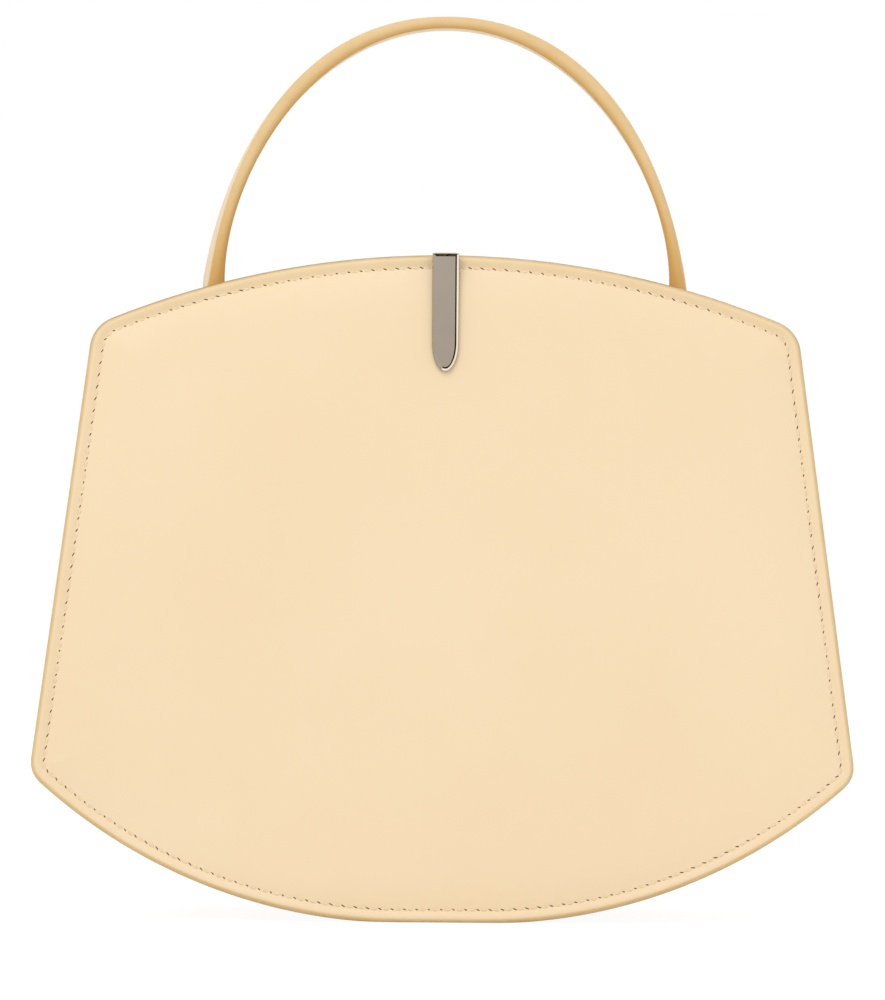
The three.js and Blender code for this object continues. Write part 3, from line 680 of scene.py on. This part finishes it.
def make_pocket():
    near, far = GUSSET_FACE, GUSSET_FACE - LINING
    count = len(pocket_outline(0))
    middle = np.array([0.0, POCKET_BOTTOM + POCKET_HEIGHT / 2])
    rings = []
    for level, shares in ((near, (0.1, 0.4, 0.7, 0.97)), (near - 0.2, (1.0,)), (far + 0.2, (1.0,)),
                          (far, (0.97, 0.85, 0.7, 0.55, 0.4, 0.25, 0.1))):
        for share in shares:
            rings.append(pocket_ring(middle + share * (pocket_outline(0) - middle), level))
    points = np.vstack(rings)
    faces = ring_faces(len(rings), count)
    faces += [tuple(range(count)), tuple(range(len(points) - count, len(points)))]
    pocket = add_piece("pocket_cloth", points, faces, lining_suede)
    dress(pocket, "shell", "lining", "slip_pocket")
    # Leather binding along the mouth
    top = POCKET_BOTTOM + POCKET_HEIGHT
    reach = POCKET_HALF + BINDING_OVER
    across = np.linspace(-reach, reach, BINDING_STEPS)
    section = [(0.5, near + 0.1), (0.9, near - 0.4), (0.5, far - 0.5), (-4.5, far - 0.5), (-5, far - 0.2),
               (-5, far + 0.05), (-4.5, near + 0.1)]
    rings = []
    for x in across:
        flat = np.array([(x, top + up) for up, _ in section])
        rings.append(pocket_ring(flat, np.array([level for _, level in section])))
    points, count = np.vstack(rings), len(section)
    faces = ring_faces(len(rings), count)
    faces += [tuple(range(count)), tuple(range(len(points) - count, len(points)))]
    binding = add_piece("pocket_binding", points, faces, shell_leather, [0] * len(points))
    dress(binding, "shell", "leather")
    # Seam round the three sewn sides
    places, ahead = seam_places(pocket_outline(POCKET_SEAM_INSET), POCKET_STITCHES, 0.5)
    sewn = places[:, 1] < top - 6
    points, faces = beads(places[sewn], ahead[sewn], POCKET_THREAD, far - 0.02, BACK, 0.1,
                          POCKET_THREAD_RINGS, POCKET_THREAD_AROUND)
    slack = pocket_slack(np.repeat(places[sewn], POCKET_THREAD_RINGS * POCKET_THREAD_AROUND, axis=0))
    points = np.array(points) + slack[:, None] * np.array([0, COS, SIN])
    seam = add_piece("pocket_stitching", points, faces, thread_finish)
    dress(seam, "shell", "lining")


make_pocket()


# Gusset and its lining: one strip each, folded in at the sides and flat along the base

def gusset_stations():
    """Places down the right side and along the base to its middle, each as a function of the inset."""
    runs = run_steps(3.2)
    corner = half_outline(0, runs)[3][0][1]
    stations = []
    for height in np.linspace(GUSSET_TOP, corner + 3, 34):
        def on_side(inset, height=height):
            return np.array([(SIDE_REACH - inset - height * SIDE_OUT[1]) / SIDE_OUT[0], height])
        stations.append((on_side, height))
    low = len(half_outline(0, runs)[3]) + len(half_outline(0, runs)[4]) + len(half_outline(0, runs)[5]) - 2
    for i in range(low):
        def on_base(inset, i=i):
            parts = half_outline(inset, runs)[3:]
            return np.vstack([parts[0][:-1], parts[1][:-1], parts[2]])[i]
        stations.append((on_base, 0.0))
    return stations


def mirrored_strip(section_at):
    """Rings from the right-hand top round to the left-hand top."""
    right = [section_at(place, height) for place, height in gusset_stations()]
    left = [ring * (-1, 1, 1) for ring in right[:-1]]
    return right + left[::-1]


def fold_depth(height):
    t = (height - FOLD_START) / (GUSSET_TOP - FOLD_START)
    return GUSSET_FOLD * (math.sqrt(t * t + 0.002) + t) / 2 if height > 0 else 0.0


def web_points(place, height, inset, level, count):
    """Across the web from front to back, drawn in along its middle by the fold."""
    fold = fold_depth(height)
    across = np.linspace(-1, 1, count)
    shape = 1 - np.sqrt(across**2 + 0.012) / math.sqrt(1.012)
    bulge = 0.05 * fold * np.sin(math.pi * np.abs(across))
    edge = on_panel(place(inset)[None], np.array([level]), FRONT)[0]
    points = []
    for v, draw in zip(across, fold * shape + bulge):
        flat = place(inset + draw)
        z = flat[1] * COS + level * SIN
        points.append((flat[0], -edge[1] * v, z))
    return np.array(points)


def leather_section(place, height):
    level = GUSSET_FACE - GUSSET / 2
    flange = np.array([place(inset) for inset in (FLANGE_INSET + 0.1, 2.5, 4.2, 5.8)])
    front = on_panel(flange, np.full(4, level), FRONT)
    web = web_points(place, height, WEB_INSET + GUSSET / 2, level - 1.6, WEB_POINTS)
    # A small round where the flange turns into the web
    turn = on_panel(place(WEB_INSET + 0.3)[None], np.array([level - 0.45]), FRONT)
    back = front[::-1] * (1, -1, 1)
    return np.vstack([front, turn, web, turn * (1, -1, 1), back])


def lining_section(place, height):
    rise = smooth((62 - height) / 18) if height > 0 else 1.0
    inset = LINING_INSET + (BASE_LINING_INSET - LINING_INSET) * rise
    return web_points(place, height, float(inset), GUSSET_FACE - 0.15, WEB_POINTS)


def strip(name, section_at, thickness, material, nodes, paint_ends):
    """A folded strip round the sides and base."""
    rings = mirrored_strip(section_at)
    count = len(rings[0])
    points = np.vstack(rings)
    faces = ring_faces(len(rings), count, 0, False)
    paint = None
    if paint_ends:
        paint = np.zeros((len(rings), count))
        paint[:, 0] = paint[:, -1] = 1
        paint[0] = paint[-1] = 1
        paint = paint.ravel()
    piece = add_piece(name, points, faces, material, paint)
    wall = piece.modifiers.new("wall", "SOLIDIFY")
    wall.thickness = thickness * MM
    wall.offset = 0
    made = bpy.data.meshes.new_from_object(piece.evaluated_get(bpy.context.evaluated_depsgraph_get()))
    piece.modifiers.clear()
    piece.data = made
    made.set_sharp_from_angle(angle=math.radians(50))
    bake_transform(piece)
    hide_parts(*nodes)
    return piece


strip("gusset_leather", leather_section, GUSSET, shell_leather,
      ["gusset_left", "gusset_right", "gusset_base"],
      True)
strip("gusset_lining_cloth", lining_section, LINING, lining_suede,
      ["gusset_lining_left", "gusset_lining_right", "gusset_lining_base"],
      False)


# Handle: one strap, domed and painted along both edges, with painted shade on the edges' inner sides and
# towards the feet

def bezier(p0, p1, p2, p3, t):
    t = t[:, None]
    points = [np.array(p, float) for p in (p0, p1, p2, p3)]
    return ((1 - t) ** 3 * points[0] + 3 * (1 - t) ** 2 * t * points[1]
            + 3 * (1 - t) * t**2 * points[2] + t**3 * points[3])


def handle_sections():
    """Middle, outward direction and half thickness from the apex to the right-hand foot."""
    fine = np.linspace(0, 1, HANDLE_SAMPLES)
    outer = bezier((0, HANDLE_TOP), *HANDLE_OUTER_BEND, (HANDLE_OUTER_X, HANDLE_BASE), fine)
    low = HANDLE_TOP - HANDLE_APEX
    inner = bezier((0, low), *HANDLE_INNER_BEND, (HANDLE_INNER_X, HANDLE_BASE), fine)
    pick = np.round(np.linspace(0, 1, HANDLE_STEPS + 1) * (HANDLE_SAMPLES - 1)).astype(int)
    middle = (outer[pick] + inner[pick]) / 2
    tangent = np.gradient(middle, axis=0)
    tangent[0] = (1, 0)
    tangent[-1] = (0, -1)
    tangent /= np.linalg.norm(tangent, axis=1)[:, None]
    sections = []
    for point, along in zip(middle, tangent):
        ends = [curve[np.argmin(np.abs((curve - point) @ along))] for curve in (outer, inner)]
        normal = np.array([-along[1], along[0]])
        reach = [(end - point) @ normal for end in ends]
        sections.append((point + normal * sum(reach) / 2, normal, abs(reach[0] - reach[1]) / 2))
    return sections


def strap_section(half_width, half_thick, dome):
    """Points round the strap as (across, outwards), and how far each is painted; past 1 the inner side of
    each domed edge gets painted shade.
    """
    flat = max(half_width - dome, 0.05)
    points, paint = [], []
    for face in (1, -1):
        for v in np.linspace(-1, 1, 7):
            points.append((face * v * flat, face * half_thick))
            paint.append(0.5 if abs(v) > 0.99 else 0.0)
        for turn in np.linspace(90, -90, 11)[1:-1]:
            turn = math.radians(turn)
            points.append((face * (flat + (half_width - flat) * math.cos(turn)),
                           face * half_thick * math.sin(turn)))
            # Painted shade: the inner side of each domed edge is painted darker
            paint.append(1 + float(smooth((0.15 - face * math.sin(turn)) / 1.15)))
    return np.array(points), paint


def leg_twist(z, side):
    """The left leg stands turned a little towards the front, the right one hardly."""
    most = LEFT_TWIST if side < 0 else RIGHT_TWIST
    fade = np.interp(z, (191, 215, 245, 268), (1, 0.7, 0.3, 0))
    return math.radians(most) * float(smooth((z - 184) / 7.5) * fade)


def make_handle():
    arch = handle_sections()
    foot, outward, half_thick = arch[-1]
    tab = []
    for z in np.linspace(HANDLE_BASE, PIVOT_HEIGHT, 9)[1:]:
        tab.append((np.array([foot[0], z]), np.array([1.0, 0.0]), half_thick))
    ends = PIVOT_HEIGHT - HANDLE_HALF * np.sin(np.radians((15, 30, 45, 58, 68, 76, 82, 86.5)))
    for z in ends:
        tab.append((np.array([foot[0], z]), np.array([1.0, 0.0]), half_thick))
    right = arch + tab
    rings, paint = [], []
    for side in (1, -1):
        for middle, normal, thick in (right[::-1] if side > 0 else right[1:]):
            drop = max(PIVOT_HEIGHT - middle[1], 0)
            half = math.sqrt(max(HANDLE_HALF**2 - drop**2, 0.04))
            section, painted = strap_section(half, thick, min(STRAP_DOME, 0.6 * half))
            angle = leg_twist(middle[1], side) * side
            across, out = section[:, 0], section[:, 1]
            y = across * math.cos(angle) + out * math.sin(angle)
            u = -across * math.sin(angle) + out * math.cos(angle)
            x, z = side * (middle[0] + normal[0] * u), middle[1] + normal[1] * u
            rings.append(np.column_stack([x, y, z]))
            # Painted shade: the painted edges darken towards the feet of the legs
            low = float(smooth((228 - middle[1]) / 40))
            paint += [value + 0.8 * low * (value >= 1) for value in painted]
    count = len(rings[0])
    points = np.vstack(rings)
    faces = ring_faces(len(rings), count)
    faces += [tuple(range(count)), tuple(range(len(points) - count, len(points)))]
    strap = add_piece("handle_strap", points, faces, strap_leather, paint)
    dress(strap, "handle", "strap", "handle_outer", "handle_core", "handle_inner")


make_handle()


# Clasp: a bevelled tongue, its bridge over the rim and the hinge knuckle

def tongue_outline(inset):
    half, top = CLASP_HALF - inset, TONGUE_TOP - inset
    centre = TONGUE_END + TONGUE_TIP
    turns = np.linspace(math.pi, 2 * math.pi, 33)
    tip = np.column_stack([half * np.cos(turns), centre + (TONGUE_TIP - inset) * np.sin(turns)])
    left = np.linspace((-half, top), (-half, centre), 9)[:-1]
    right = np.linspace((half, centre), (half, top), 9)[1:]
    return np.vstack([left, tip, right])


def box_section(half, low, high, bevel):
    return np.array([
        (-half + bevel, high), (half - bevel, high), (half, high - bevel), (half, low + bevel),
        (half - bevel, low), (-half + bevel, low), (-half, low + bevel), (-half, high - bevel),
    ])


def make_clasp():
    count = len(tongue_outline(0))
    rings = [on_panel(tongue_outline(inset), np.full(count, level), FRONT) for inset, level in TONGUE_RINGS]
    points = list(np.vstack(rings))
    faces = ring_faces(len(rings), count)
    faces += [tuple(range(count)), tuple(range(count * (len(rings) - 1), count * len(rings)))]
    # Bridge, narrowed to the knuckle at its back
    stops = ((BRIDGE_FRONT, BRIDGE_HALF), (HINGE_Y - KNUCKLE_RADIUS - 0.5, BRIDGE_HALF),
             (HINGE_Y - KNUCKLE_RADIUS - 0.3, KNUCKLE_HALF), (HINGE_Y - 0.4, KNUCKLE_HALF))
    first = len(points)
    for y, half in stops:
        for x, z in box_section(half, BRIDGE_LOW, BRIDGE_TOP, BRIDGE_BEVEL):
            points.append((x, y, z))
    faces += ring_faces(len(stops), 8, first)
    faces += [tuple(range(first, first + 8)), tuple(range(first + 24, first + 32))]
    first = len(points)
    end, shoulder = KNUCKLE_RADIUS - KNUCKLE_BEVEL, KNUCKLE_HALF - KNUCKLE_BEVEL
    barrel = ((-KNUCKLE_HALF, end), (-shoulder, KNUCKLE_RADIUS), (shoulder, KNUCKLE_RADIUS),
              (KNUCKLE_HALF, end))
    for x, radius in barrel:
        for turn in np.linspace(0, 2 * math.pi, 33)[:-1]:
            points.append((x, HINGE_Y + radius * math.cos(turn), HINGE_Z + radius * math.sin(turn)))
    faces += ring_faces(4, 32, first)
    faces += [tuple(range(first, first + 32)), tuple(range(first + 96, first + 128))]
    clasp = add_piece("clasp_tongue", points, faces, pewter)
    clasp.data.set_sharp_from_angle(angle=math.radians(12))
    dress(clasp, "clasp", "metal", "clasp_bar")


make_clasp()


# Small fittings: bevelled copies of the CAD's metal nodes

def refined(node, body, bevel):
    """A copy of a CAD node with bevelled edges."""
    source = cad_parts[node].data
    mesh = bpy.data.meshes.new(f"{node}_metal")
    work = bmesh.new()
    work.from_mesh(source)
    bmesh.ops.remove_doubles(work, verts=work.verts, dist=1e-6)
    bmesh.ops.dissolve_limit(work, angle_limit=math.radians(1), verts=work.verts, edges=work.edges)
    sharp = [e for e in work.edges if e.is_manifold and e.calc_face_angle(0) > math.radians(35)]
    bmesh.ops.bevel(work, geom=sharp, offset=bevel * MM, segments=2, profile=0.5, affect="EDGES",
                    clamp_overlap=True)
    bmesh.ops.recalc_face_normals(work, faces=work.faces)
    work.to_mesh(mesh)
    work.free()
    mesh.shade_smooth()
    mesh.set_sharp_from_angle(angle=math.radians(40))
    mesh.materials.append(pewter)
    piece = bpy.data.objects.new(f"{node}_metal", mesh)
    scene.collection.objects.link(piece)
    return dress(piece, body, "metal", node)


def turned_profile(mesh, centre, axis):
    """Levels along the axis and the outer radius of the wall between each two."""
    points = np.array([vertex.co for vertex in mesh.vertices]) / MM - centre
    along = np.round(points @ axis, 2)
    radius = np.linalg.norm(points - np.outer(points @ axis, axis), axis=1)
    levels = np.unique(along)
    walls = np.zeros(len(levels) - 1)
    for edge in mesh.edges:
        ends = np.array(edge.vertices)
        first, last = np.searchsorted(levels, np.sort(along[ends]))
        walls[first:last] = np.maximum(walls[first:last], radius[ends].max())
    return levels, walls


def domed_end(level, inner, radius):
    """Rim to middle of a low domed head, as (level, radius)."""
    rise = math.copysign(min(0.45 * abs(level - inner), 0.3 * radius), level - inner)
    turns = np.radians((90, 75, 60, 45, 30, 15, 4))
    return [(level - rise * (1 - math.cos(turn)), radius * math.sin(turn)) for turn in turns]


def lathed(node, body, axis, around=40):
    """A smooth turned copy of a round CAD node."""
    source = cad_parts[node].data
    points = np.array([vertex.co for vertex in source.vertices]) / MM
    axis = np.array(axis, float)
    end = points[points @ axis > (points @ axis).max() - 0.02]
    centre = np.unique(np.round(end, 4), axis=0).mean(0)
    levels, walls = turned_profile(source, centre, axis)
    profile = domed_end(levels[0], levels[1], walls[0])[::-1]
    for i, wall in enumerate(walls):
        profile += [(levels[i], wall)] if i else []
        profile += [(levels[i + 1], wall)] if i + 1 < len(walls) else []
    profile += domed_end(levels[-1], levels[-2], walls[-1])
    across = np.cross(axis, (0, 1, 0) if abs(axis[0]) > 0.5 else (1, 0, 0))
    across /= np.linalg.norm(across)
    third = np.cross(axis, across)
    turns = np.linspace(0, 2 * math.pi, around + 1)[:-1]
    circle = np.outer(np.cos(turns), across) + np.outer(np.sin(turns), third)
    rings = [centre + axis * level + radius * circle for level, radius in profile]
    faces = ring_faces(len(rings), around)
    faces += [tuple(range(around)), tuple(range(around * (len(rings) - 1), around * len(rings)))]
    piece = add_piece(f"{node}_metal", np.vstack(rings), faces, pewter)
    piece.data.set_sharp_from_angle(angle=math.radians(40))
    return dress(piece, body, "metal", node)


FITTINGS = ["hinge_leaf", "hinge_backing_plate", "handle_lug_left", "handle_lug_right", "handle_post_left",
            "handle_post_right", "handle_screw_left", "handle_screw_right"]
RIVETS = ["hinge_rivet_upper", "hinge_rivet_lower", "lug_rivet_left_upper", "lug_rivet_left_lower",
          "lug_rivet_right_upper", "lug_rivet_right_lower"]
FITTING_BEVEL = 0.18
for fitting in FITTINGS:
    refined(fitting, "shell", FITTING_BEVEL)
for rivet in RIVETS:
    lathed(rivet, "shell", (0, COS, SIN))
lathed("hinge_pin", "shell", (1, 0, 0))

# Stiffeners and magnet stay inside the panels as they are
for node, finish in (("front_board", board_fibre), ("back_board", board_fibre), ("base_board", board_fibre),
                     ("closure_magnet", pewter)):
    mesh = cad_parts[node].data
    mesh.materials.clear()
    mesh.materials.append(finish)


# Floor, light and camera

def seen_directly(tree):
    """1 where the camera, a reflection or something clear looks at it."""
    path = tree.nodes.new("ShaderNodeLightPath")
    share = None
    for name in ("Is Camera Ray", "Is Glossy Ray", "Is Transmission Ray"):
        if share is None:
            share = path.outputs[name]
            continue
        most = tree.nodes.new("ShaderNodeMath")
        most.operation = "MAXIMUM"
        tree.links.new(share, most.inputs[0])
        tree.links.new(path.outputs[name], most.inputs[1])
        share = most.outputs[0]
    return share


# A ray that looks at the backdrop sees white, and the world lights the bag at WORLD_LEVEL
WORLD_LEVEL = 0.72
FLOOR_HALF = 4.0
FLOOR_SHADE = 0.88
FLOOR_GLOW = 1.07


def make_world():
    world = bpy.data.worlds.new("studio")
    scene.world = world
    world.use_nodes = True
    tree = world.node_tree
    dim = tree.nodes["Background"]
    dim.inputs["Color"].default_value = (1, 1, 1, 1)
    dim.inputs["Strength"].default_value = WORLD_LEVEL
    white = tree.nodes.new("ShaderNodeBackground")
    white.inputs["Color"].default_value = (1, 1, 1, 1)
    white.inputs["Strength"].default_value = 1.0
    mix = tree.nodes.new("ShaderNodeMixShader")
    tree.links.new(seen_directly(tree), mix.inputs[0])
    tree.links.new(dim.outputs[0], mix.inputs[1])
    tree.links.new(white.outputs[0], mix.inputs[2])
    tree.links.new(mix.outputs[0], tree.nodes["World Output"].inputs["Surface"])


def make_floor():
    mesh = bpy.data.meshes.new("floor")
    half = FLOOR_HALF
    corners = [(-half, -half, 0), (half, -half, 0), (half, half, 0), (-half, half, 0)]
    mesh.from_pydata(corners, [], [(0, 1, 2, 3)])
    floor = bpy.data.objects.new("floor", mesh)
    scene.collection.objects.link(floor)
    material = bpy.data.materials.new("studio_floor")
    material.use_nodes = True
    tree = material.node_tree
    matt = tree.nodes["Principled BSDF"]
    matt.inputs["Base Color"].default_value = (0.92, 0.92, 0.92, 1)
    matt.inputs["Roughness"].default_value = 0.9
    matt.inputs["Specular IOR Level"].default_value = 0.0
    glow = tree.nodes.new("ShaderNodeEmission")
    glow.inputs["Color"].default_value = (1, 1, 1, 1)
    glow.inputs["Strength"].default_value = FLOOR_GLOW
    mix = tree.nodes.new("ShaderNodeMixShader")
    part = tree.nodes.new("ShaderNodeMath")
    part.operation = "MULTIPLY"
    part.inputs[1].default_value = FLOOR_SHADE
    tree.links.new(seen_directly(tree), part.inputs[0])
    tree.links.new(part.outputs[0], mix.inputs[0])
    tree.links.new(matt.outputs[0], mix.inputs[1])
    tree.links.new(glow.outputs[0], mix.inputs[2])
    tree.links.new(mix.outputs[0], tree.nodes["Material Output"].inputs["Surface"])
    mesh.materials.append(material)


def card(name, corners, faces, level):
    """A studio card that only reflections see."""
    mesh = bpy.data.meshes.new(name)
    mesh.from_pydata(corners, [], faces)
    board = bpy.data.objects.new(name, mesh)
    scene.collection.objects.link(board)
    material = bpy.data.materials.new(name)
    material.use_nodes = True
    tree = material.node_tree
    glow = tree.nodes.new("ShaderNodeEmission")
    glow.inputs["Color"].default_value = (1, 1, 1, 1)
    glow.inputs["Strength"].default_value = level
    tree.links.new(glow.outputs[0], tree.nodes["Material Output"].inputs["Surface"])
    mesh.materials.append(material)
    board.visible_camera = board.visible_diffuse = board.visible_shadow = False
    board.visible_transmission = board.visible_volume_scatter = False


CARD_BLACK, CARD_BRIGHT = 0.0, 2.4
CARD_REACH = 1.0
CARD_LIFT = 0.002
CARD_TURNS = np.radians(np.linspace(-6, 122, 33))


def bevel_card(name, low, high, level):
    """A ribbon of card, where bevels of the clasp between two tilts mirror the photograph's view."""
    start = on_panel(np.array([(0, TONGUE_END + TONGUE_TIP)]), TONGUE_OUT, FRONT)[0] * MM
    view = start - CAMERA_PLACE
    view /= np.linalg.norm(view)
    outward, upward = np.array((0, -COS, SIN)), np.array((0, SIN, COS))
    corners = []
    for turn in CARD_TURNS:
        aside = np.array((math.cos(turn), 0, 0)) - math.sin(turn) * upward
        for tilt in (math.radians(low), math.radians(high)):
            facet = math.cos(tilt) * outward + math.sin(tilt) * aside
            away = view - 2 * view.dot(facet) * facet
            floor_reach = (start[2] - CARD_LIFT) / max(-away[2], 1e-6)
            corners.append(start + away * min(CARD_REACH, floor_reach))
    card(name, corners, [(i, i + 1, i + 3, i + 2) for i in range(0, len(corners) - 2, 2)], level)


LIGHT_TARGET = (0, 0, 0.1)
LIGHT_SIZE = 1.3


def area_light(name, place, target, size, energy):
    """A round lamp turned to its target."""
    data = bpy.data.lights.new(name, "AREA")
    data.shape = "DISK"
    data.size = size
    data.energy = energy
    light = bpy.data.objects.new(name, data)
    light.location = place
    light.rotation_euler = (Vector(target) - Vector(place)).to_track_quat("-Z", "Y").to_euler()
    scene.collection.objects.link(light)


CAMERA_PLACE = (-0.0005, -1.831, 0.12521)
CAMERA_ROLL = math.radians(-0.42)
CAMERA_LENS = 218.05


def make_camera():
    data = bpy.data.cameras.new("photo_camera")
    data.lens = CAMERA_LENS
    data.sensor_width = 36.0
    camera = bpy.data.objects.new("photo_camera", data)
    camera.location = CAMERA_PLACE
    camera.rotation_euler = (math.pi / 2, CAMERA_ROLL, 0)
    scene.collection.objects.link(camera)
    scene.camera = camera


make_world()
make_floor()
area_light("key", (-0.35, -1.15, 1.75), LIGHT_TARGET, LIGHT_SIZE, 12.5)
area_light("back_fill", (0.45, 1.35, 1.2), LIGHT_TARGET, LIGHT_SIZE, 8)
card("top_flag", [(-0.05, -0.4, 0.9), (0.05, -0.4, 0.9), (0.05, 0.27, 0.9), (-0.05, 0.27, 0.9)],
     [(0, 1, 2, 3)], CARD_BLACK)
bevel_card("bevel_flag", 24.5, 29.2, CARD_BLACK)
bevel_card("bevel_glow", 38, 47, CARD_BRIGHT)
make_camera()
scene.view_settings.view_transform = "Standard"
